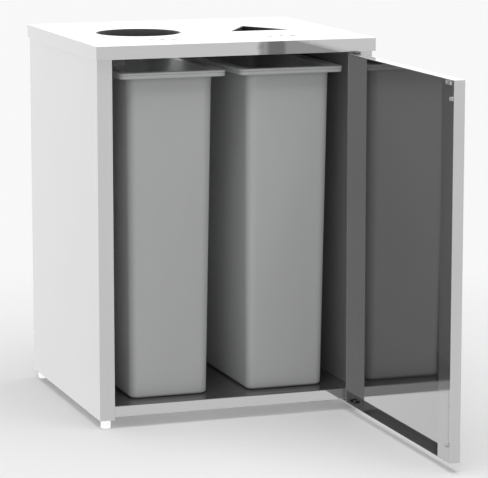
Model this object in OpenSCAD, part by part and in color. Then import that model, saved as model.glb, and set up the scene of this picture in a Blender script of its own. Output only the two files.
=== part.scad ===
// Two-stream recycling bin station: a folded-sheet cabinet with one side-hung door
// and two slim lift-out bins under a round and a triangular opening.
// Millimetres. +Z is up and +Y runs to the back. The origin is on the floor, centred
// on the cabinet's width, in the plane of the top panel's front edge.
// The door is drawn standing open at a right angle to the front.

/* [Top panel] */
// Width of the top panel
top_w = 680; // [660:1:700]
// Depth of the top panel
top_d = 615; // [615:1:640]
// Folded edge height of the top panel
top_t = 31; // [26:1:38]
// Height of the whole station
station_h = 891; // [860:1:920]
// Width of the folded lip under the top panel
top_lip = 32; // [30:1:36]

/* [Sheet metal] */
// Thickness of the painted sheet
sheet = 1.5; // [1.2:0.1:2]
// Thickness of the floor liner
floor_sheet = 1.2; // [1:0.1:1.5]

/* [Cabinet] */
// Thickness of a side panel
side_t = 36; // [32:1:40]
// Overhang of the top panel past a side panel
side_inset = 4.5; // [3:0.5:8]
// Set-back of the side panels from the top's front edge
side_front = 12.5; // [11:0.5:16]
// Set-back of the side panels from the top's back edge
side_back = 3; // [2:0.5:6]
// Height of the side panels above the floor
side_z = 20; // [20:1:24]
// Height of the floor panel's lower edge
floor_z = 27.7; // [26:0.1:34]
// Height of the floor panel's front edge
floor_h = 25.6; // [22:0.1:30]
// Depth of the back panel's folded edges
back_t = 15; // [12:1:20]

/* [Openings] */
// Radius of the round opening in the top
round_r = 102; // [90:1:110]
// Distance of the round opening left of centre
round_x = 145.5; // [140:0.5:150]
// Distance of the triangular opening right of centre
tri_x = 149; // [140:0.5:155]
// Distance of both openings' centres from the top's front edge
hole_y = 314; // [300:1:330]
// Side length of the triangular opening
tri_side = 156; // [130:1:160]
// Wall thickness of the throat liners
throat_wall = 4.5; // [3:0.5:6]
// Length of the throat liners
throat_h = 42; // [38:1:48]

/* [Door] */
// Width of the door across the front
door_w = 614; // [612:1:616]
// Height of the door
door_h = 835; // [825:1:836]
// Folded depth of the door
door_t = 25.5; // [24:0.5:28]
// Height of the door's lower edge above the floor
door_z = 21.3; // [21:0.1:23]
// Thickness of the door's inner lining
door_lining = 0.6; // [0.4:0.1:0.6]
// Width of the stiffener on the door's free side
door_lip = 64; // [50:1:80]
// Distance of the pivot in from the door's inner rim
pivot_in = 19; // [18.5:0.1:19.2]
// Distance of the pivot in from the door's hinge edge
pivot_edge = 12; // [11:0.5:12]
// Sideways position of the door's rim when it stands open
door_x = 269.5; // [269.5:0.1:271]
// Gap between the hinge edge of the open door and the plane of the top's front
door_gap = 1; // [1:0.5:3]
// Radius of the pivot pins
pin_r = 3; // [2.5:0.1:3]

/* [Bins] */
// Width of a bin across its rim
bin_w = 258; // [244:1:258]
// Depth of a bin across its rim
bin_d = 558; // [540:1:560]
// Height of a bin
bin_h = 772; // [750:1:780]
// Width of the body just under the rim
body_w = 206; // [200:1:210]
// Depth of the body just under the rim
body_d = 514; // [500:1:520]
// Width of the base
base_w = 190; // [180:1:196]
// Depth of the base
base_d = 466; // [450:1:490]
// Wall thickness of a bin
bin_wall = 3; // [2.5:0.5:4]
// Height of the rolled rim
rim_h = 14; // [12:0.5:20]
// Corner radius of the rim
rim_r = 18; // [16:1:32]
// Distance of the right bin's centre from the cabinet's centre line
right_bin_x = 140; // [136:0.5:140]
// Distance of the left bin's centre from the cabinet's centre line
left_bin_x = 149.5; // [147:0.5:152]
// Distance of the bins' rims from the top's front edge
bin_y = 20; // [20:1:24]

/* [Feet] */
// Radius of a foot
foot_r = 11.5; // [10:0.5:13]
// Radius of a foot's stud
stud_r = 4; // [3:0.5:5]
// Distance of the feet from the front and back of the side panels
foot_in = 18; // [16:1:30]
// Length of the stud above a foot
stud_h = 42; // [35:1:50]

/* [Hidden] */
$fn = 96;

white = "#f2f2f0";
dark = "#4a4a4c";
black = "#1e1e20";
steel = "#b9bcc0";
ferrite = "#3a3a3d";
clear = "#b7b8b6";
bin_grey = "#8f8f93";
eps = 1;
sliver = 0.01;
corner_fn = 32;

// Heights and edges of the cabinet
top_z = station_h - top_t;
side_out = top_w / 2 - side_inset;
side_in = side_out - side_t;
side_end = top_d - side_back;
inner_back = side_end - back_t - sheet;
floor_top = floor_z + floor_h;
floor_lip = 14;

// Door and pivot
door_hinge_y = -door_gap;
door_free_y = door_hinge_y - door_w;
door_out_x = door_x + door_t;
door_top = door_z + door_h;
pivot_x = door_x + pivot_in;
pivot_y = door_hinge_y - pivot_edge;
pin_fit = 0.05;
bush_wall = 1.2;
bush_r = pin_r + bush_wall;
bush_len = 6;
bush_flange_out = 0.6;
bush_flange_r = bush_r + bush_flange_out;
bush_flange_t = 0.8;
bracket_t = 2;
bracket_end = 34;
pin_len = 9;
pin_head_r = 5.5;
pin_head_t = 1.5;

// Feet
foot_x = (side_in + side_out) / 2;
foot_front = side_front + foot_in;
foot_back = side_end - foot_in;
foot_gap = 0.4;
foot_h = side_z - foot_gap;
foot_chamfer = 1.5;
nut_r = 6.5;
nut_h = 14;
nut_flange_r = 8.5;
nut_flange_t = 1.2;

// Pivot brackets
bracket_w = 19;
bracket_shift = 0.5;
bracket_mid_x = pivot_x - bracket_shift;
bracket_x0 = bracket_mid_x - bracket_w / 2;
bracket_x1 = bracket_mid_x + bracket_w / 2;
bracket_margin = 2;
bracket_screw_x = bracket_mid_x - bracket_shift;
bracket_screw_y = [16, 27];
bracket_screw_len = 9;
lower_screw_in = 10;
lower_screw_x = side_in + lower_screw_in;
lower_screw_behind = [20, 34];
lower_screw_y = [for (d = lower_screw_behind) foot_front + d];
lower_bracket_behind = 44;
lower_bracket_end = foot_front + lower_bracket_behind;
foot_clear = 1;

// Throat liners
throat_flange = 14;
throat_flange_t = 2;
throat_flange_z = top_z + sheet - throat_flange_t;
throat_fit = 0.2;
throat_screw_r = round_r + throat_flange / 2;
throat_screw_len = 8;
throat_screw_turn = 45;
quarter = 90;
third = 120;
tri_flange = 48;
tri_flange_side = tri_side + tri_flange;
tri_screw_out = 3.4;
tri_screw_r = tri_side / sqrt(3) + tri_screw_out;

// Fasteners
hole_gap = 0.1;
m6_r = 3;
m5_r = 2.5;
m3_r = 1.5;
head_ratio = 1.8;
head_ratio_h = 0.9;
top_screw_out = 2;
top_screw_y = [60, 220, 400, 560];
floor_screw_y = [110, 310, 510];
back_screw_z = [90, 320, 560, 790];
top_screw_len = 12;
panel_screw_len = 10;

// Bins
bin_gap = 0.3;
bin_z = floor_top + bin_gap;
rim_step = 1;
rim_step_h = 9;
body_r = 24;
base_r = 20;
slice = 0.1;
bin_cy = bin_y + bin_d / 2;

// Catch
catch_w = 28;
catch_d = 30;
catch_h = 14;
catch_y = 9.5;
catch_x = -side_in + sheet + catch_w / 2;
magnet_w = 18;
magnet_h = 8;
magnet_d = 14;
magnet_out = 1.2;
catch_screw_in = 7;
catch_screw_out = catch_w / 4;
catch_screw_len = catch_h - 2 * hole_gap;
strike_w = 30;
strike_h = 9;
strike_t = 1.2;
strike_edge = 1.5;
strike_head_t = 0.6;
strike_screw_out = strike_w / 3;
strike_y = catch_x - pivot_x + pivot_y;
strike_z = door_top - sheet - strike_edge - strike_h / 2;
bumper_r = 4.5;
bumper_t = 6.2;
bumper_in = 7;
bumper_z = 40;

// Labels
label_w = 80;
label_d = 26;
label_t = 0.3;
label_y = 122;
label_r = 4;

// ---- helpers ----

// Box from one corner to the opposite corner
module box(a, b) {
  translate(a)
    cube([b[0] - a[0], b[1] - a[1], b[2] - a[2]]);
}

// Rounded rectangle centred on the origin
module rounded_rect(w, d, r) {
  for (x = [-1, 1])
    translate([x * (w / 2 - r), 0])
      square([2 * r, d - 2 * r], center = true);
  square([w - 2 * r, d], center = true);
  for (x = [-1, 1], y = [-1, 1])
    translate([x * (w / 2 - r), y * (d / 2 - r)])
      circle(r, $fn = corner_fn);
}

// Equilateral triangle with its centroid at the origin, base toward the front
module triangle(side) {
  polygon([
    [-side / 2, -side * sqrt(3) / 6],
    [side / 2, -side * sqrt(3) / 6],
    [0, side * sqrt(3) / 3]
  ]);
}

// Screw along +Z with its head below the origin
module screw(r, len) {
  cylinder(r = r, h = len);
  translate([0, 0, -r * head_ratio_h])
    cylinder(r = r * head_ratio, h = r * head_ratio_h);
}

// Places of the screws that hold the top onto the side panels
module at_top_screws(side) {
  for (y = top_screw_y)
    translate([side * (foot_x + top_screw_out), y, top_z])
      children();
}

// Places of the screws that hold the floor panel to the side panels
module at_floor_screws(side) {
  for (y = floor_screw_y)
    translate([side * (side_in - sheet), y, floor_z + floor_h / 2])
      rotate([0, side * quarter, 0])
        children();
}

// Places of the screws that hold the back panel to the side panels
module at_back_screws(side) {
  for (z = back_screw_z)
    translate([side * (side_in - sheet), side_end - back_t / 2 - sheet, z])
      rotate([0, side * quarter, 0])
        children();
}

// Places of the screws that hold the round liner under the top
module at_throat_screws() {
  for (i = [0 : 3])
    translate([-round_x, hole_y, 0])
      rotate([0, 0, throat_screw_turn + i * quarter])
        translate([throat_screw_r, 0, 0])
          children();
}

// ---- top ----

module top_panel() {
  color(white)
    difference() {
      box([-top_w / 2, 0, top_z], [top_w / 2, top_d, station_h]);
      box([-top_w / 2 + sheet, sheet, top_z + sheet], [top_w / 2 - sheet, top_d - sheet, station_h - sheet]);
      box([-top_w / 2 + 2 * top_lip, top_lip, top_z - eps],
          [top_w / 2 - 2 * top_lip, top_d - top_lip, top_z + 2 * sheet]);
      translate([-round_x, hole_y, top_z])
        cylinder(r = round_r, h = top_t + eps);
      translate([tri_x, hole_y, top_z])
        linear_extrude(top_t + eps)
          triangle(tri_side);
      for (side = [-1, 1])
        at_top_screws(side)
          translate([0, 0, -eps])
            cylinder(r = m6_r + hole_gap, h = sheet + 2 * eps);
      for (y = bracket_screw_y)
        translate([bracket_screw_x, y, top_z - eps])
          cylinder(r = m5_r + hole_gap, h = sheet + 2 * eps);
    }
}

module top_underside() {
  color(dark)
    difference() {
      box([-top_w / 2 + 2 * sheet, 2 * sheet, top_z + sheet],
          [top_w / 2 - 2 * sheet, top_d - 2 * sheet, top_z + 2 * sheet]);
      translate([-round_x, hole_y, top_z])
        cylinder(r = round_r, h = top_t);
      translate([tri_x, hole_y, top_z])
        linear_extrude(top_t)
          triangle(tri_side);
      for (side = [-1, 1])
        at_top_screws(side)
          cylinder(r = m6_r + hole_gap, h = top_t);
      for (y = bracket_screw_y)
        translate([bracket_screw_x, y, top_z])
          cylinder(r = m5_r + hole_gap, h = top_t);
      at_throat_screws()
        translate([0, 0, top_z])
          cylinder(r = m3_r + hole_gap, h = top_t);
      at_tri_screws()
        translate([0, 0, top_z])
          cylinder(r = m3_r + hole_gap, h = top_t);
    }
}

// Places of the screws at the triangular liner's three corners
module at_tri_screws() {
  for (i = [0 : 2])
    translate([tri_x, hole_y, 0])
      rotate([0, 0, quarter + i * third])
        translate([tri_screw_r, 0, 0])
          children();
}

module round_throat() {
  color(black)
    difference() {
      union() {
        translate([-round_x, hole_y, station_h - throat_h])
          cylinder(r = round_r - throat_fit, h = throat_h);
        translate([-round_x, hole_y, throat_flange_z])
          cylinder(r = round_r + throat_flange, h = throat_flange_t);
      }
      translate([-round_x, hole_y, station_h - throat_h - eps])
        cylinder(r = round_r - throat_wall, h = throat_h + 2 * eps);
      at_throat_screws()
        translate([0, 0, throat_flange_z - eps])
          cylinder(r = m3_r + hole_gap, h = throat_flange_t + 2 * eps);
    }
}

module triangle_throat() {
  color(black)
    difference() {
      union() {
        translate([tri_x, hole_y, station_h - throat_h])
          linear_extrude(throat_h)
            triangle(tri_side - 2 * sqrt(3) * throat_fit);
        translate([tri_x, hole_y, throat_flange_z])
          linear_extrude(throat_flange_t)
            triangle(tri_flange_side);
      }
      translate([tri_x, hole_y, station_h - throat_h - eps])
        linear_extrude(throat_h + 2 * eps)
          triangle(tri_side - 2 * sqrt(3) * throat_wall);
      at_tri_screws()
        translate([0, 0, throat_flange_z - eps])
          cylinder(r = m3_r + hole_gap, h = throat_flange_t + 2 * eps);
    }
}

module throat_screws() {
  color(steel) {
    at_throat_screws()
      translate([0, 0, throat_flange_z])
        screw(m3_r, throat_screw_len);
    at_tri_screws()
      translate([0, 0, throat_flange_z])
        screw(m3_r, throat_screw_len);
  }
}

// ---- sides, back and floor ----

// Outer shell of the right-hand side panel: a skin with four folded edges
module side_shell() {
  color(white)
    difference() {
      box([side_in, side_front, side_z], [side_out, side_end, top_z]);
      box([side_in + sheet, side_front + sheet, side_z + sheet],
          [side_out - sheet, side_end - sheet, top_z - sheet]);
      box([side_in - eps, side_front + sheet, side_z - eps],
          [side_in + sheet + sliver, side_end - sheet, top_z + eps]);
      at_top_screws(1)
        translate([0, 0, -sheet - eps])
          cylinder(r = m6_r + hole_gap, h = sheet + 2 * eps);
      for (y = [foot_front, foot_back])
        translate([foot_x, y, side_z - eps])
          cylinder(r = nut_r, h = sheet + 2 * eps);
    }
}

// Lining sheet of the right-hand side panel, between its folded edges
module side_liner() {
  color(dark)
    difference() {
      box([side_in, side_front + sheet, side_z], [side_in + sheet, side_end - sheet, top_z]);
      at_floor_screws(1)
        translate([0, 0, -eps])
          cylinder(r = m5_r + hole_gap, h = 2 * sheet + 2 * eps);
      at_back_screws(1)
        translate([0, 0, -eps])
          cylinder(r = m5_r + hole_gap, h = 2 * sheet + 2 * eps);
    }
}

module left_side_shell() {
  mirror([1, 0, 0])
    side_shell();
}

module right_side_shell() {
  difference() {
    side_shell();
    for (y = lower_screw_y)
      translate([lower_screw_x, y, side_z - eps])
        cylinder(r = m5_r + hole_gap, h = sheet + 2 * eps);
  }
}

module left_side_liner() {
  mirror([1, 0, 0])
    side_liner();
}

module right_side_liner() {
  side_liner();
}

module back_panel() {
  color(white)
    difference() {
      box([-side_in, side_end - back_t, side_z], [side_in, side_end, top_z]);
      box([-side_in + sheet, side_end - back_t - eps, side_z + sheet],
          [side_in - sheet, side_end - sheet, top_z - sheet]);
      for (side = [-1, 1])
        at_back_screws(side)
          translate([0, 0, -eps])
            cylinder(r = m5_r + hole_gap, h = sheet + 2 * eps);
    }
}

module back_liner() {
  color(dark)
    box([-side_in, inner_back, side_z], [side_in, inner_back + sheet, top_z]);
}

module bottom_panel() {
  color(white)
    difference() {
      box([-side_in, side_front, floor_z], [side_in, inner_back, floor_top - floor_sheet]);
      box([-side_in + sheet, side_front + sheet, floor_z + sheet],
          [side_in - sheet, inner_back - sheet, floor_top - floor_sheet - sheet]);
      box([-side_in + floor_lip, side_front + floor_lip, floor_z - eps],
          [side_in - floor_lip, inner_back - floor_lip, floor_z + 2 * sheet]);
      for (side = [-1, 1])
        at_floor_screws(side)
          translate([0, 0, -eps])
            cylinder(r = m5_r + hole_gap, h = sheet + 2 * eps);
    }
}

module floor_liner() {
  color(dark)
    box([-side_in, side_front + sheet, floor_top - floor_sheet], [side_in, inner_back, floor_top]);
}

// ---- screws of the cabinet ----

module top_screws() {
  color(steel)
    for (side = [-1, 1])
      at_top_screws(side)
        translate([0, 0, -sheet])
          screw(m6_r, top_screw_len);
}

module floor_screws() {
  color(steel)
    for (side = [-1, 1])
      at_floor_screws(side)
        screw(m5_r, panel_screw_len);
}

module back_screws() {
  color(steel)
    for (side = [-1, 1])
      at_back_screws(side)
        screw(m5_r, panel_screw_len);
}

// ---- pivots ----

// Plate under the top panel that carries the upper pin
module upper_pivot_bracket() {
  color(black)
    difference() {
      union() {
        box([bracket_x0, pivot_y, top_z - bracket_t], [bracket_x1, bracket_end, top_z]);
        translate([bracket_mid_x, pivot_y, top_z - bracket_t])
          cylinder(r = bracket_w / 2, h = bracket_t);
      }
      translate([pivot_x, pivot_y, top_z - bracket_t - eps])
        cylinder(r = pin_r, h = bracket_t + 2 * eps);
      for (y = bracket_screw_y)
        translate([bracket_screw_x, y, top_z - bracket_t - eps])
          cylinder(r = m5_r + hole_gap, h = bracket_t + 2 * eps);
    }
}

// Plate under the right-hand side panel that carries the lower pin, cleared around the foot
module lower_pivot_bracket() {
  plate_z = side_z - bracket_t;
  color(black)
    difference() {
      union() {
        box([bracket_x0, pivot_y, plate_z], [bracket_x1, lower_bracket_end, side_z]);
        box([bracket_x0, side_front, plate_z], [side_out - bracket_margin, lower_bracket_end, side_z]);
        translate([bracket_mid_x, pivot_y, plate_z])
          cylinder(r = bracket_w / 2, h = bracket_t);
      }
      translate([pivot_x, pivot_y, plate_z - eps])
        cylinder(r = pin_r, h = bracket_t + 2 * eps);
      translate([foot_x, foot_front, plate_z - eps])
        cylinder(r = foot_r + foot_clear, h = bracket_t + 2 * eps);
      for (y = lower_screw_y)
        translate([lower_screw_x, y, plate_z - eps])
          cylinder(r = m5_r + hole_gap, h = bracket_t + 2 * eps);
    }
}

module upper_pivot_pin() {
  color(steel)
    translate([pivot_x, pivot_y, top_z - pin_len])
      cylinder(r = pin_r, h = pin_len);
}

module lower_pivot_pin() {
  color(steel)
    translate([pivot_x, pivot_y, side_z - bracket_t]) {
      cylinder(r = pin_r, h = pin_len);
      translate([0, 0, -pin_head_t])
        cylinder(r = pin_head_r, h = pin_head_t);
    }
}

module bracket_screws() {
  color(steel) {
    for (y = bracket_screw_y)
      translate([bracket_screw_x, y, top_z - bracket_t])
        screw(m5_r, bracket_screw_len);
    for (y = lower_screw_y)
      translate([lower_screw_x, y, side_z - bracket_t])
        screw(m5_r, bracket_screw_len);
  }
}

// ---- door, drawn open ----

module door_skin() {
  color(white)
    difference() {
      box([door_x, door_free_y, door_z], [door_out_x, door_hinge_y, door_top]);
      box([door_x - eps, door_free_y + sheet, door_z + sheet],
          [door_out_x - sheet, door_hinge_y - sheet, door_top - sheet]);
      for (z = [door_z, door_top - sheet])
        translate([pivot_x, pivot_y, z - eps])
          cylinder(r = bush_r, h = sheet + 2 * eps);
    }
}

// Lining of the door between its hinge edge and its stiffener
module door_liner() {
  low = [door_x, door_free_y + door_lip, door_z + sheet];
  high = [door_out_x - sheet, door_hinge_y - sheet, door_top - sheet];
  color(dark)
    difference() {
      box(low, high);
      box(low + [-eps, -eps, door_lining], high - [door_lining, door_lining, door_lining]);
      for (z = [door_z, door_top - sheet - door_lining])
        translate([pivot_x, pivot_y, z - eps])
          cylinder(r = bush_r + hole_gap, h = sheet + door_lining + 2 * eps);
    }
}

// Stiffener on the free side: a lip flush with the rim and a web to the skin
module door_edge_channel() {
  lip_y = door_free_y + sheet;
  web_y = door_free_y + door_lip;
  color(dark)
    difference() {
      union() {
        box([door_x, lip_y, door_z + sheet], [door_x + sheet, web_y, door_top - sheet]);
        box([door_x, web_y - sheet, door_z + sheet], [door_out_x - sheet, web_y, door_top - sheet]);
      }
      at_strike_screws()
        translate([0, 0, -eps])
          cylinder(r = m3_r + hole_gap, h = sheet + 2 * eps);
      at_bumpers()
        translate([0, 0, -eps])
          cylinder(r = bumper_r / 2, h = sheet + 2 * eps);
    }
}

// Plain bush with a thrust flange, its flange at the bottom
module pivot_bush() {
  color(black)
    difference() {
      union() {
        translate([0, 0, -bush_flange_t])
          cylinder(r = bush_flange_r, h = bush_flange_t);
        cylinder(r = bush_r, h = bush_len);
      }
      translate([0, 0, -bush_flange_t - eps])
        cylinder(r = pin_r + pin_fit, h = bush_flange_t + bush_len + 2 * eps);
    }
}

module lower_pivot_bush() {
  translate([pivot_x, pivot_y, door_z])
    pivot_bush();
}

module upper_pivot_bush() {
  translate([pivot_x, pivot_y, door_top])
    mirror([0, 0, 1])
      pivot_bush();
}

// Places of the clear bumpers on the free-side lip, along +X into the lip
module at_bumpers() {
  for (z = [door_z + bumper_z, door_top - bumper_z])
    translate([door_x, door_free_y + bumper_in, z])
      rotate([0, quarter, 0])
        children();
}

module door_bumpers() {
  color(clear)
    at_bumpers() {
      translate([0, 0, -bumper_t])
        cylinder(r = bumper_r, h = bumper_t);
      cylinder(r = bumper_r / 2 - hole_gap, h = 2 * sheet);
    }
}

module at_strike_screws() {
  for (s = [-1, 1])
    translate([door_x, strike_y + s * strike_screw_out, strike_z])
      rotate([0, quarter, 0])
        children();
}

module catch_strike() {
  color(steel)
    difference() {
      box([door_x - strike_t, strike_y - strike_w / 2, strike_z - strike_h / 2],
          [door_x, strike_y + strike_w / 2, strike_z + strike_h / 2]);
      at_strike_screws()
        translate([0, 0, -strike_t - eps])
          cylinder(r = m3_r + hole_gap, h = strike_t + 2 * eps);
    }
}

module strike_screws() {
  color(steel)
    at_strike_screws() {
      translate([0, 0, -strike_t])
        cylinder(r = m3_r, h = strike_t + 3 * sheet);
      translate([0, 0, -strike_t - strike_head_t])
        cylinder(r = m3_r * head_ratio, h = strike_head_t);
    }
}

// ---- magnetic catch under the top panel ----

module catch_body() {
  color(black)
    difference() {
      box([catch_x - catch_w / 2, catch_y, top_z - catch_h],
          [catch_x + catch_w / 2, catch_y + catch_d, top_z]);
      box([catch_x - magnet_w / 2, catch_y - eps, top_z - catch_h / 2 - magnet_h / 2],
          [catch_x + magnet_w / 2, catch_y + magnet_d, top_z - catch_h / 2 + magnet_h / 2]);
      at_catch_screws()
        translate([0, 0, -eps])
          cylinder(r = m3_r + hole_gap, h = catch_h + 2 * eps);
    }
}

module catch_magnet() {
  color(ferrite)
    box([catch_x - magnet_w / 2, catch_y - magnet_out, top_z - catch_h / 2 - magnet_h / 2],
        [catch_x + magnet_w / 2, catch_y + magnet_d, top_z - catch_h / 2 + magnet_h / 2]);
}

// Places of the two screws behind the magnet
module at_catch_screws() {
  for (s = [-1, 1])
    translate([catch_x + s * catch_screw_out, catch_y + catch_d - catch_screw_in, top_z - catch_h])
      children();
}

module catch_screws() {
  color(steel)
    at_catch_screws()
      screw(m3_r, catch_screw_len);
}

// ---- feet ----

// Glide of a levelling foot
module foot() {
  color(white)
    difference() {
      rotate_extrude()
        polygon([
          [0, 0],
          [foot_r - foot_chamfer, 0],
          [foot_r, foot_chamfer],
          [foot_r, foot_h - foot_chamfer / 2],
          [foot_r - foot_chamfer / 2, foot_h],
          [0, foot_h]
        ]);
      translate([0, 0, foot_h / 2])
        cylinder(r = stud_r, h = foot_h);
    }
}

// Threaded stud of a levelling foot
module stud() {
  color(steel)
    translate([0, 0, foot_h / 2])
      cylinder(r = stud_r, h = stud_h);
}

module front_left_foot() {
  translate([-foot_x, foot_front, 0])
    foot();
}

module front_right_foot() {
  translate([foot_x, foot_front, 0])
    foot();
}

module back_left_foot() {
  translate([-foot_x, foot_back, 0])
    foot();
}

module back_right_foot() {
  translate([foot_x, foot_back, 0])
    foot();
}

module front_left_stud() {
  translate([-foot_x, foot_front, 0])
    stud();
}

module front_right_stud() {
  translate([foot_x, foot_front, 0])
    stud();
}

module back_left_stud() {
  translate([-foot_x, foot_back, 0])
    stud();
}

module back_right_stud() {
  translate([foot_x, foot_back, 0])
    stud();
}

// Threaded inserts in the side panels' lower folds
module foot_nuts() {
  color(steel)
    for (x = [-foot_x, foot_x], y = [foot_front, foot_back])
      translate([x, y, side_z])
        difference() {
          union() {
            cylinder(r = nut_r - hole_gap, h = nut_h);
            translate([0, 0, sheet])
              cylinder(r = nut_flange_r, h = nut_flange_t);
          }
          translate([0, 0, -eps])
            cylinder(r = stud_r + pin_fit, h = nut_h + 2 * eps);
        }
}

// ---- labels ----

module waste_label() {
  color(steel)
    translate([-round_x, label_y, station_h])
      linear_extrude(label_t)
        rounded_rect(label_w, label_d, label_r);
}

module recycling_label() {
  color(steel)
    translate([tri_x, label_y, station_h])
      linear_extrude(label_t)
        rounded_rect(label_w, label_d, label_r);
}

// ---- bins ----

// Tapered solid from the base outline to the body outline, reduced by a wall
module bin_form(wall, z0, z1) {
  hull() {
    translate([0, 0, z0])
      linear_extrude(slice)
        rounded_rect(base_w - 2 * wall, base_d - 2 * wall, base_r - wall);
    translate([0, 0, z1 - slice])
      linear_extrude(slice)
        rounded_rect(body_w - 2 * wall, body_d - 2 * wall, body_r - wall);
  }
}

// Bin with its rim, its base at the origin
module bin() {
  color(bin_grey)
    difference() {
      union() {
        bin_form(0, 0, bin_h - bin_wall / 2);
        translate([0, 0, bin_h - bin_wall])
          linear_extrude(bin_wall)
            rounded_rect(bin_w, bin_d, rim_r);
        bin_skirt();
      }
      bin_form(bin_wall, bin_wall, bin_h + eps);
    }
}

// Down-turned edge of the rim in two steps
module bin_skirt() {
  difference() {
    union() {
      translate([0, 0, bin_h - rim_h + rim_step_h])
        linear_extrude(rim_h - rim_step_h)
          rounded_rect(bin_w, bin_d, rim_r);
      translate([0, 0, bin_h - rim_h])
        linear_extrude(rim_h)
          rounded_rect(bin_w - 2 * rim_step, bin_d - 2 * rim_step, rim_r - rim_step);
    }
    translate([0, 0, bin_h - rim_h - eps])
      linear_extrude(rim_h - bin_wall + eps)
        rounded_rect(bin_w - 4 * rim_step - 2 * bin_wall, bin_d - 4 * rim_step - 2 * bin_wall,
                     rim_r - 2 * rim_step - bin_wall);
  }
}

module left_bin() {
  translate([-left_bin_x, bin_cy, bin_z])
    bin();
}

module right_bin() {
  translate([right_bin_x, bin_cy, bin_z])
    bin();
}

top_panel();
top_underside();
round_throat();
triangle_throat();
throat_screws();
left_side_shell();
right_side_shell();
left_side_liner();
right_side_liner();
back_panel();
back_liner();
bottom_panel();
floor_liner();
top_screws();
floor_screws();
back_screws();
upper_pivot_bracket();
lower_pivot_bracket();
upper_pivot_pin();
lower_pivot_pin();
bracket_screws();
catch_body();
catch_magnet();
catch_screws();
foot_nuts();
waste_label();
recycling_label();
door_skin();
door_liner();
door_edge_channel();
upper_pivot_bush();
lower_pivot_bush();
door_bumpers();
catch_strike();
strike_screws();
front_left_foot();
front_right_foot();
back_left_foot();
back_right_foot();
front_left_stud();
front_right_stud();
back_left_stud();
back_right_stud();
left_bin();
right_bin();
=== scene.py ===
"""Looks of the two-stream recycling bin station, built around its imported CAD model.

The sheet-metal cabinet, door, feet and fittings are CAD nodes with rounded folds and
procedural finishes. The bins and labels are detailed meshes that stand for their CAD
nodes.
"""

import math

import bpy
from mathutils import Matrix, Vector


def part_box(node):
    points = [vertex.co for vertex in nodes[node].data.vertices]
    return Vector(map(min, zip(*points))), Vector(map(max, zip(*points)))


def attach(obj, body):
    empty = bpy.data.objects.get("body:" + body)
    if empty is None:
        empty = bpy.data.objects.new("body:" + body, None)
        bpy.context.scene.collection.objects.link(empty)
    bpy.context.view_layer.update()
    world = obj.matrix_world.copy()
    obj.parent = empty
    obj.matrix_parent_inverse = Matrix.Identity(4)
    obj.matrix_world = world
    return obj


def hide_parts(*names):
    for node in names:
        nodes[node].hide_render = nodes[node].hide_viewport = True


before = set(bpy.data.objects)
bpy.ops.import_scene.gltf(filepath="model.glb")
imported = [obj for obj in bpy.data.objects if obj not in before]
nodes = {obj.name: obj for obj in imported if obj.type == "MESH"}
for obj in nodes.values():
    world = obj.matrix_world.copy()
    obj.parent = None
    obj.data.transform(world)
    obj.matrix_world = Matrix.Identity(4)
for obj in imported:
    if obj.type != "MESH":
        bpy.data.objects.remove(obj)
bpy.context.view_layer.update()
scene = bpy.context.scene
MM = 0.001
NOISE_LOW, NOISE_HIGH = 0.3, 0.7    # the part of a noise texture's range that it mostly fills


# ---- shader helpers -------------------------------------------------------

def new_material(name):
    """A material with its Principled shader, its node tree and its object-space coordinates."""
    mat = bpy.data.materials.new(name)
    mat.use_nodes = True
    tree = mat.node_tree
    shader = tree.nodes["Principled BSDF"]
    coords = tree.nodes.new("ShaderNodeTexCoord")
    return mat, tree, shader, coords.outputs["Object"]


def noise(tree, vector, scale, detail=2.0, rough=0.5, stretch=(1, 1, 1)):
    """Noise factor on object coordinates, with its features stretched along an axis."""
    place = tree.nodes.new("ShaderNodeMapping")
    place.inputs["Scale"].default_value = stretch
    tree.links.new(vector, place.inputs["Vector"])
    tex = tree.nodes.new("ShaderNodeTexNoise")
    tex.inputs["Scale"].default_value = scale
    tex.inputs["Detail"].default_value = detail
    tex.inputs["Roughness"].default_value = rough
    tree.links.new(place.outputs["Vector"], tex.inputs["Vector"])
    return tex.outputs["Fac"]


def remap(tree, value, low, high):
    """Noise value spread over low..high."""
    node = tree.nodes.new("ShaderNodeMapRange")
    node.inputs["From Min"].default_value = NOISE_LOW
    node.inputs["From Max"].default_value = NOISE_HIGH
    node.inputs["To Min"].default_value = low
    node.inputs["To Max"].default_value = high
    tree.links.new(value, node.inputs["Value"])
    return node.outputs["Result"]


def tint(tree, value, low, high):
    """Colour between two colours by a noise factor."""
    mix = tree.nodes.new("ShaderNodeMix")
    mix.data_type = "RGBA"
    mix.inputs[6].default_value = (*low, 1)
    mix.inputs[7].default_value = (*high, 1)
    spread = remap(tree, value, 0, 1)
    tree.links.new(spread, mix.inputs[0])
    return mix.outputs[2]


def bump(tree, shader, heights, distance):
    """Chain of bumps from (height, strength) pairs into the shader's normal."""
    normal = None
    for height, strength in heights:
        node = tree.nodes.new("ShaderNodeBump")
        node.inputs["Strength"].default_value = strength
        node.inputs["Distance"].default_value = distance
        tree.links.new(height, node.inputs["Height"])
        if normal is not None:
            tree.links.new(normal, node.inputs["Normal"])
        normal = node.outputs["Normal"]
    tree.links.new(normal, shader.inputs["Normal"])


def shade(grey, warm=0.0):
    """A near-neutral colour, warmer or cooler by a small amount."""
    return (grey * (1 + warm), grey, grey * (1 - warm))


# ---- materials ------------------------------------------------------------

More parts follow.
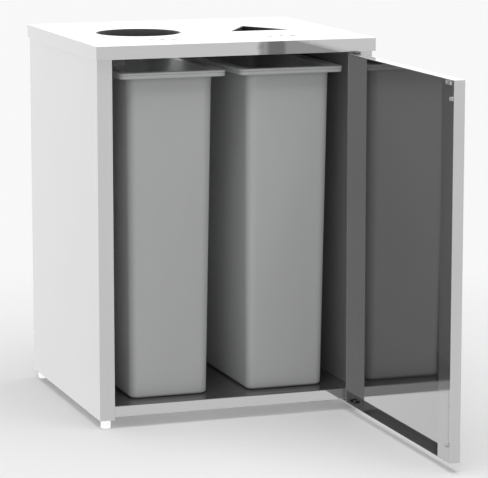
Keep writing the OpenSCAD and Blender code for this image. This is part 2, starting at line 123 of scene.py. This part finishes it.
def gloss_sheet(name, grey, metallic, rough):
    """Glossy sheet finish: faint orange peel, uneven gloss and a slight drift in tone.

    The more metallic it is, the more it mirrors and the less light it scatters.
    """
    mat, tree, shader, at = new_material(name)
    shader.inputs["Metallic"].default_value = metallic
    cloud = noise(tree, at, 3.0, detail=3.0)
    peel = noise(tree, at, 260.0, detail=1.0)
    grain = noise(tree, at, 1400.0, detail=2.0)
    colour = tint(tree, cloud, shade(grey * 0.975), shade(grey * 1.02))
    tree.links.new(colour, shader.inputs["Base Color"])
    tree.links.new(remap(tree, peel, rough * 0.75, rough * 1.3), shader.inputs["Roughness"])
    bump(tree, shader, [(peel, 0.05), (grain, 0.03)], 0.0002)
    return mat


def moulded_plastic(name, grey, rough, warm=0.0, grain_scale=1100.0, grain=0.25, pearl=0.0):
    """Moulded plastic: fine spark-eroded grain, soft flow streaks and light rub marks.

    Pearl is the share of metallic pigment in it.
    """
    mat, tree, shader, at = new_material(name)
    shader.inputs["IOR"].default_value = 1.49
    shader.inputs["Metallic"].default_value = pearl
    streak = noise(tree, at, 4.0, detail=4.0, stretch=(1, 1, 0.25))
    texture = noise(tree, at, grain_scale, detail=3.0, rough=0.6)
    rub = noise(tree, at, 42.0, detail=5.0, rough=0.7, stretch=(1, 1, 0.12))
    colour = tint(tree, streak, shade(grey * 0.955, warm), shade(grey * 1.04, warm))
    tree.links.new(colour, shader.inputs["Base Color"])
    tree.links.new(remap(tree, rub, rough * 0.85, rough * 1.15), shader.inputs["Roughness"])
    bump(tree, shader, [(texture, grain), (rub, 0.04)], 0.0002)
    return mat


def plated_steel(name, grey, rough):
    """Zinc-plated steel with a fine drawn grain and blotchy passivation."""
    mat, tree, shader, at = new_material(name)
    shader.inputs["Metallic"].default_value = 1.0
    blotch = noise(tree, at, 60.0, detail=4.0)
    drawn = noise(tree, at, 900.0, detail=2.0, stretch=(1, 1, 0.08))
    colour = tint(tree, blotch, shade(grey * 0.88, 0.03), shade(grey * 1.06, -0.01))
    tree.links.new(colour, shader.inputs["Base Color"])
    tree.links.new(remap(tree, blotch, rough * 0.8, rough * 1.3), shader.inputs["Roughness"])
    bump(tree, shader, [(drawn, 0.2)], 0.0001)
    return mat


def soft_clear(name, grey):
    """Clear soft polyurethane, slightly dusty."""
    mat, tree, shader, at = new_material(name)
    shader.inputs["Transmission Weight"].default_value = 0.6
    dust = noise(tree, at, 180.0, detail=4.0)
    colour = tint(tree, dust, shade(grey * 0.9), shade(grey * 1.05))
    tree.links.new(colour, shader.inputs["Base Color"])
    tree.links.new(remap(tree, dust, 0.25, 0.4), shader.inputs["Roughness"])
    bump(tree, shader, [(noise(tree, at, 1500.0), 0.1)], 0.0001)
    return mat


def printed_vinyl(name, grey, gloss, warm=0.0):
    """Thin printed vinyl with a faint ink mottle; gloss is its specular level."""
    mat, tree, shader, at = new_material(name)
    shader.inputs["Specular IOR Level"].default_value = gloss
    ink = noise(tree, at, 700.0, detail=3.0)
    colour = tint(tree, ink, shade(grey * 0.93, warm), shade(grey * 1.05, warm))
    tree.links.new(colour, shader.inputs["Base Color"])
    tree.links.new(remap(tree, ink, 0.25, 0.4), shader.inputs["Roughness"])
    bump(tree, shader, [(ink, 0.05)], 0.0001)
    return mat


OUTER = gloss_sheet("light_gloss_sheet", 0.47, 0.48, 0.025)
INNER = gloss_sheet("dark_gloss_sheet", 0.245, 0.88, 0.045)
LIP = gloss_sheet("door_lip_sheet", 0.3, 0.62, 0.06)
LINING = gloss_sheet("dark_lining_sheet", 0.48, 0.38, 0.08)
FLOOR_SHEET = gloss_sheet("dark_floor_sheet", 0.11, 0.45, 0.15)
BLACK = moulded_plastic("black_moulding", 0.018, 0.45)
BLACK_STEEL = gloss_sheet("black_powder_coat", 0.03, 0.0, 0.35)
STEEL = plated_steel("zinc_plated_steel", 0.62, 0.3)
BIN = moulded_plastic("bin_moulding", 0.63, 0.42, warm=-0.008)
FOOT = moulded_plastic("foot_moulding", 0.92, 0.25, grain=0.1, pearl=0.55)
CLEAR = soft_clear("clear_bumper", 0.75)
FERRITE = moulded_plastic("ferrite_magnet", 0.035, 0.6, grain_scale=700.0)
VINYL = printed_vinyl("label_film", 0.6, 0.5)
INK_WARM = printed_vinyl("waste_ink", 0.2, 0.1, warm=0.06)
INK_GREY = printed_vinyl("recycling_ink", 0.16, 0.1)


# ---- CAD nodes: rounded folds and finishes --------------------------------

WELD_REACH = 0.01 * MM     # vertices closer than this are joined before rounding
FOLD_ANGLE = 40            # edges sharper than this are rounded, degrees


def dress(node, mat, radius):
    """Gives a CAD node its finish and rounds its edges by a small radius."""
    obj = nodes[node]
    obj.data.materials.clear()
    obj.data.materials.append(mat)
    weld = obj.modifiers.new("weld", "WELD")
    weld.merge_threshold = WELD_REACH
    soft = obj.modifiers.new("fold", "BEVEL")
    soft.width = radius
    soft.segments = 3
    soft.limit_method = "ANGLE"
    soft.angle_limit = math.radians(FOLD_ANGLE)
    soft.harden_normals = True


FINISHES = [
    (OUTER, 0.6 * MM, ["top_panel", "left_side_shell", "right_side_shell", "back_panel",
                       "bottom_panel", "door_skin"]),
    (INNER, 0.3 * MM, ["door_liner"]),
    (LIP, 0.3 * MM, ["door_edge_channel"]),
    (LINING, 0.3 * MM, ["top_underside", "left_side_liner", "right_side_liner", "back_liner"]),
    (FLOOR_SHEET, 0.3 * MM, ["floor_liner"]),
    (BLACK, 0.4 * MM, ["round_throat", "triangle_throat", "catch_body", "upper_pivot_bush",
                       "lower_pivot_bush"]),
    (BLACK_STEEL, 0.3 * MM, ["upper_pivot_bracket", "lower_pivot_bracket"]),
    (STEEL, 0.25 * MM, ["throat_screws", "top_screws", "floor_screws", "back_screws",
                        "bracket_screws", "catch_screws", "strike_screws", "upper_pivot_pin",
                        "lower_pivot_pin", "catch_strike", "foot_nuts",
                        "front_left_stud", "front_right_stud", "back_left_stud",
                        "back_right_stud"]),
    (FOOT, 0.5 * MM, ["front_left_foot", "front_right_foot", "back_left_foot",
                      "back_right_foot"]),
    (CLEAR, 0.6 * MM, ["door_bumpers"]),
    (FERRITE, 0.4 * MM, ["catch_magnet"]),
]
for finish, radius, names in FINISHES:
    for name in names:
        dress(name, finish, radius)


# ---- mesh helpers ---------------------------------------------------------

def make_object(name, verts, faces, mat, smooth=True):
    """Object from points and faces, with its material and its shading."""
    mesh = bpy.data.meshes.new(name)
    mesh.from_pydata([tuple(v) for v in verts], [], faces)
    mesh.validate()
    mesh.materials.append(mat)
    mesh.polygons.foreach_set("use_smooth", [smooth] * len(mesh.polygons))
    obj = bpy.data.objects.new(name, mesh)
    scene.collection.objects.link(obj)
    return obj


def rounded_ring(half_w, half_d, radius, z, steps):
    """Points of a rounded rectangle, anticlockwise from the +X side, steps per corner."""
    points = []
    for corner, (sx, sy) in enumerate([(1, 1), (-1, 1), (-1, -1), (1, -1)]):
        for i in range(steps + 1):
            a = math.radians(90 * (corner + i / steps))
            points.append(Vector((
                sx * (half_w - radius) + radius * math.cos(a),
                sy * (half_d - radius) + radius * math.sin(a),
                z,
            )))
    return points


def loft(name, rings, mat):
    """Closed skin over a list of rings with the same number of points, capped at both ends."""
    count = len(rings[0])
    verts = [p for ring in rings for p in ring]
    faces = []
    for k in range(len(rings) - 1):
        for i in range(count):
            j = (i + 1) % count
            faces.append((k * count + i, k * count + j, (k + 1) * count + j, (k + 1) * count + i))
    faces.append(tuple(reversed(range(count))))
    faces.append(tuple(range((len(rings) - 1) * count, len(rings) * count)))
    return make_object(name, verts, faces, mat)


# ---- bins -----------------------------------------------------------------

BODY_TOP = (103, 257)      # half width and depth of the body just under the rim, mm
BODY_BASE = (95, 233)      # half width and depth at the base, mm
RIM_RADIUS = 18
BODY_RADIUS = (20, 24)     # vertical corner radius at the base and at the top, mm
WALL = 3
RIM_STEP = 1               # the lower band of the rim is set in by this much, mm
RIM_GROOVE = 2.2           # and the groove above it by this much, mm
BEAD_H = 5                 # height of the bead along the rim's top, mm
BEAD_ROUND = (3, 0.9)      # radius of the bead's upper and lower edge, mm
RIM_H = 14
TURN_OUT = 5               # radius where the body turns out under the rim, mm
TURN_IN = 4                # radius where the rim turns down into the bin, mm
FOOT_ROUND = 11            # rounding under the base, mm
HEEL = 0.7                 # height of that rounding as a share of its radius
CORNER_STEPS = 10
BODY_SHARES = (0.03, 0.12, 0.3, 0.5, 0.7, 0.88, 0.955)    # rings up the body, shares of height


def arc(cx, cz, r, start, end, steps=4, rise=None):
    """Points of an arc in the profile plane, in degrees; rise is its height if elliptical."""
    rise = r if rise is None else rise
    points = []
    for i in range(steps + 1):
        a = math.radians(start + (end - start) * i / steps)
        points.append((cx + r * math.cos(a), cz + rise * math.sin(a)))
    return points


def bin_profile(height):
    """Section of the bin from the base outline up the outside, over the rim and down the inside.

    Each point is (outline, offset out from it, height), mm. The outline is the base's, the
    tapered body's or the rim's.
    """
    heel = FOOT_ROUND * HEEL
    points = [("base", -22, 2.2), ("base", -20, 2.0), ("base", -18.5, 0.3), ("base", -17, 0)]
    points += [("base", x, z) for x, z in arc(-FOOT_ROUND, heel, FOOT_ROUND, -90, 0, 7, heel)]
    points += [("body", 0, height * share) for share in BODY_SHARES]
    points += [("body", x, z) for x, z in arc(TURN_OUT, height - WALL - TURN_OUT, TURN_OUT, 180, 90)]
    inner = -RIM_STEP * 2 - WALL
    low = height - RIM_H
    groove = height - BEAD_H
    top, bottom = BEAD_ROUND
    points += [("rim", x, z) for x, z in arc(inner - 2, height - WALL - 2, 2, 90, 0, 3)]
    points += [("rim", x, z) for x, z in arc(inner + 0.8, low + 0.8, 0.8, 180, 270, 3)]
    points += [("rim", x, z) for x, z in arc(-RIM_STEP - 1.5, low + 1.5, 1.5, 270, 360, 4)]
    points += [("rim", x, z) for x, z in arc(-RIM_STEP - 1, groove - 2.4, 1, 0, 80, 3)]
    points += [("rim", -RIM_GROOVE, groove - 1.1), ("rim", -RIM_GROOVE, groove - 0.4)]
    points += [("rim", x, z) for x, z in arc(-bottom, groove + bottom, bottom, 270, 360, 3)]
    points += [("rim", x, z) for x, z in arc(-top, height - top, top, 0, 90, 6)]
    points += [("body", x - WALL, z) for x, z in arc(TURN_IN, height - TURN_IN, TURN_IN, 90, 180, 5)]
    points += [("body", -WALL, height * share) for share in reversed(BODY_SHARES[1:])]
    points += [("base", -WALL - 0.2, 16), ("base", -WALL - 1.8, 9.5), ("base", -WALL - 6, 5),
               ("base", -WALL - 12, WALL)]
    return points


def ring_size(outline, offset, z, height, rim):
    """Half width, half depth and corner radius of the bin at a profile point, mm."""
    if outline == "rim":
        return rim[0] + offset, rim[1] + offset, RIM_RADIUS + offset
    share = 0 if outline == "base" else z / height
    half_w = BODY_BASE[0] + (BODY_TOP[0] - BODY_BASE[0]) * share
    half_d = BODY_BASE[1] + (BODY_TOP[1] - BODY_BASE[1]) * share
    radius = BODY_RADIUS[0] + (BODY_RADIUS[1] - BODY_RADIUS[0]) * share
    return half_w + offset, half_d + offset, max(radius + offset, 4)


def make_bin(node, body):
    """Slim bin with a footed base, tapered walls and a two-step rolled rim."""
    low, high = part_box(node)
    height = (high.z - low.z) / MM
    rim = ((high.x - low.x) / 2 / MM, (high.y - low.y) / 2 / MM)
    centre = (low + high) / 2
    rings = []
    for outline, offset, z in bin_profile(height):
        half_w, half_d, radius = ring_size(outline, offset, z, height, rim)
        ring = rounded_ring(half_w * MM, half_d * MM, radius * MM, low.z + z * MM, CORNER_STEPS)
        rings.append([p + Vector((centre.x, centre.y, 0)) for p in ring])
    obj = loft(node + "_moulding", rings, BIN)
    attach(obj, body)
    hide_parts(node)


make_bin("left_bin", "left_bin_body")
make_bin("right_bin", "right_bin_body")


# ---- labels ---------------------------------------------------------------

def flat_piece(name, outlines, z0, z1, mat):
    """Thin plate from closed outlines, each a list of (x, y) points in metres."""
    verts, faces = [], []
    for outline in outlines:
        start, count = len(verts), len(outline)
        verts += [(x, y, z0) for x, y in outline] + [(x, y, z1) for x, y in outline]
        faces.append(tuple(start + i for i in reversed(range(count))))
        faces.append(tuple(start + count + i for i in range(count)))
        for i in range(count):
            j = (i + 1) % count
            faces.append((start + i, start + j, start + count + j, start + count + i))
    return make_object(name, verts, faces, mat, smooth=False)


def block(cx, cy, w, d, top=None):
    """Four-sided outline centred on cx, cy; top is the far edge's width if it tapers. mm."""
    top = w if top is None else top
    return [(cx - w / 2, cy - d / 2), (cx + w / 2, cy - d / 2),
            (cx + top / 2, cy + d / 2), (cx - top / 2, cy + d / 2)]


def cup(cx):
    """Tapered cup with a lid."""
    return [block(cx, -1.5, 7, 12, 10), block(cx, 5.8, 11.5, 1.6)]


def bag(cx):
    """Tied bag."""
    return [block(cx, -1, 13, 11, 10), block(cx, 5.4, 3, 1.4), block(cx, 7.2, 6.5, 1.4, 8)]


def waste_bin(cx):
    """Slatted bin with a lid."""
    bars = [block(cx + s * 2.9, -1.5, 1.5, 9, 1.9) for s in (-1, 0, 1)]
    return bars + [block(cx, -7.1, 8.6, 1.4), block(cx, 5.2, 12.5, 1.6), block(cx, 7.2, 4, 1.2)]


def bottle(cx):
    """Bottle with a neck."""
    return [block(cx, -2.8, 7.5, 10), block(cx, 3.6, 7.5, 2.6, 3), block(cx, 6.6, 3, 2.2)]


def can(cx):
    """Can with its two rims."""
    return [block(cx, 0, 9, 11), block(cx, -6.7, 7.6, 1.2), block(cx, 6.7, 7.6, 1.2)]


def jar(cx):
    """Jar with a lid."""
    return [block(cx, -1.6, 10, 11), block(cx, 6.2, 7.4, 2.6)]


LABEL_RADIUS = 4 * MM
FILM_SHARE = 0.5           # the film takes this share of the label's thickness, the ink the rest
ICON_SPACING = 28          # mm


def make_label(node, icons, ink):
    """A thin film with a row of three plain pictograms printed on it."""
    low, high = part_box(node)
    centre = (low + high) / 2
    film_top = low.z + (high.z - low.z) * FILM_SHARE
    half_w, half_d = (high.x - low.x) / 2, (high.y - low.y) / 2
    corners = rounded_ring(half_w, half_d, LABEL_RADIUS, 0, 6)
    ring = [(p.x + centre.x, p.y + centre.y) for p in corners]
    film = flat_piece(node + "_film", [ring], low.z, film_top, VINYL)
    outlines = []
    for i, icon in enumerate(icons):
        for outline in icon(ICON_SPACING * (i - 1)):
            outlines.append([(centre.x + x * MM, centre.y + y * MM) for x, y in outline])
    ink_piece = flat_piece(node + "_print", outlines, film_top, high.z, ink)
    for piece in (film, ink_piece):
        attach(piece, "cabinet")
    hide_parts(node)


make_label("waste_label", [cup, waste_bin, bag], INK_WARM)
make_label("recycling_label", [bottle, can, jar], INK_GREY)


# ---- studio ---------------------------------------------------------------

CAMERA_AT = (-1.9687, -5.6744, 1.4557)
CAMERA_TURN = (80.33, 0.0, -19.25)   # degrees
LENS = 193.08
SENSOR = 36.0

FLOOR_HALF = 60.0          # half the floor's width, metres
FLOOR_NEAR = 0.86          # floor colour around the object
FLOOR_BOUNCE = 0.25        # floor colour as far as the light it throws back goes
FLOOR_FAR = 0.94           # glow of the floor in the distance
FLOOR_LIFT = 0.15          # share of that glow close by, which lightens the shadows
FADE_FROM, FADE_TO = 0.5, 2.2        # metres from the origin
BACKGROUND = 0.94          # what the camera sees behind everything
STUDIO_GLOSS = 1.6         # what polished surfaces mirror
STUDIO_FILL = 0.34         # soft light from all round


def light_path_mix(tree, seen, otherwise, rays):
    """Mix Shader that shows one shader to rays of the named kind and another to the rest."""
    path = tree.nodes.new("ShaderNodeLightPath")
    mix = tree.nodes.new("ShaderNodeMixShader")
    tree.links.new(path.outputs[rays], mix.inputs[0])
    tree.links.new(otherwise, mix.inputs[1])
    tree.links.new(seen, mix.inputs[2])
    return mix.outputs[0]


def glow(tree, strength, kind="ShaderNodeEmission"):
    """Even white light of a strength, from an emission or a background shader."""
    node = tree.nodes.new(kind)
    node.inputs["Color"].default_value = (1, 1, 1, 1)
    node.inputs["Strength"].default_value = strength
    return node.outputs[0]


def make_world():
    """Surroundings that differ for the camera, for polished surfaces and for soft light."""
    world = bpy.data.worlds.new("studio")
    scene.world = world
    world.use_nodes = True
    tree = world.node_tree
    tree.nodes.clear()
    kind = "ShaderNodeBackground"
    rest = light_path_mix(tree, glow(tree, STUDIO_GLOSS, kind), glow(tree, STUDIO_FILL, kind),
                          "Is Glossy Ray")
    both = light_path_mix(tree, glow(tree, BACKGROUND, kind), rest, "Is Camera Ray")
    out = tree.nodes.new("ShaderNodeOutputWorld")
    tree.links.new(both, out.inputs["Surface"])


def make_floor():
    """Pale floor that brightens softly into the distance and glows in reflections."""
    mat, tree, shader, at = new_material("floor_paper")
    corners = [(x * FLOOR_HALF, y * FLOOR_HALF, 0) for x, y in ((-1, -1), (1, -1), (1, 1), (-1, 1))]
    floor = make_object("floor", corners, [(0, 1, 2, 3)], mat)
    shader.inputs["Base Color"].default_value = (FLOOR_NEAR, FLOOR_NEAR, FLOOR_NEAR, 1)
    shader.inputs["Roughness"].default_value = 0.9
    shader.inputs["Specular IOR Level"].default_value = 0.1
    reach = tree.nodes.new("ShaderNodeVectorMath")
    reach.operation = "LENGTH"
    tree.links.new(at, reach.inputs[0])
    fade = tree.nodes.new("ShaderNodeMapRange")
    fade.interpolation_type = "SMOOTHSTEP"
    fade.inputs["From Min"].default_value = FADE_FROM
    fade.inputs["From Max"].default_value = FADE_TO
    fade.inputs["To Min"].default_value = FLOOR_LIFT
    tree.links.new(reach.outputs["Value"], fade.inputs["Value"])
    paper = tree.nodes.new("ShaderNodeMixShader")
    tree.links.new(fade.outputs["Result"], paper.inputs[0])
    tree.links.new(shader.outputs[0], paper.inputs[1])
    tree.links.new(glow(tree, FLOOR_FAR), paper.inputs[2])
    bounce = tree.nodes.new("ShaderNodeBsdfDiffuse")
    bounce.inputs["Color"].default_value = (FLOOR_BOUNCE, FLOOR_BOUNCE, FLOOR_BOUNCE, 1)
    soft = light_path_mix(tree, bounce.outputs[0], paper.outputs[0], "Is Diffuse Ray")
    both = light_path_mix(tree, glow(tree, STUDIO_GLOSS), soft, "Is Glossy Ray")
    tree.links.new(both, tree.nodes["Material Output"].inputs["Surface"])


def soft_light(name, place, size, power, aim):
    """Large soft area light aimed at a point, unseen in reflections."""
    data = bpy.data.lights.new(name, "AREA")
    data.shape = "RECTANGLE"
    data.size, data.size_y = size
    data.energy = power
    lamp = bpy.data.objects.new(name, data)
    scene.collection.objects.link(lamp)
    lamp.location = place
    lamp.rotation_euler = (Vector(aim) - Vector(place)).to_track_quat("-Z", "Y").to_euler()
    lamp.visible_glossy = False


def make_camera():
    """Long-lens camera at the front left, a little above the top."""
    data = bpy.data.cameras.new("camera")
    data.sensor_width = SENSOR
    data.lens = LENS
    camera = bpy.data.objects.new("camera", data)
    scene.collection.objects.link(camera)
    camera.location = CAMERA_AT
    camera.rotation_euler = [math.radians(a) for a in CAMERA_TURN]
    scene.camera = camera


make_camera()
make_world()
make_floor()
soft_light("overhead", (0.0, -0.15, 3.6), (3.2, 3.6), 108, aim=(0, -0.15, 0))
soft_light("key", (-1.9, -4.0, 1.5), (2.4, 2.4), 28, aim=(0, 0.2, 0.4))

scene.view_settings.view_transform = "Standard"
scene.view_settings.look = "None"
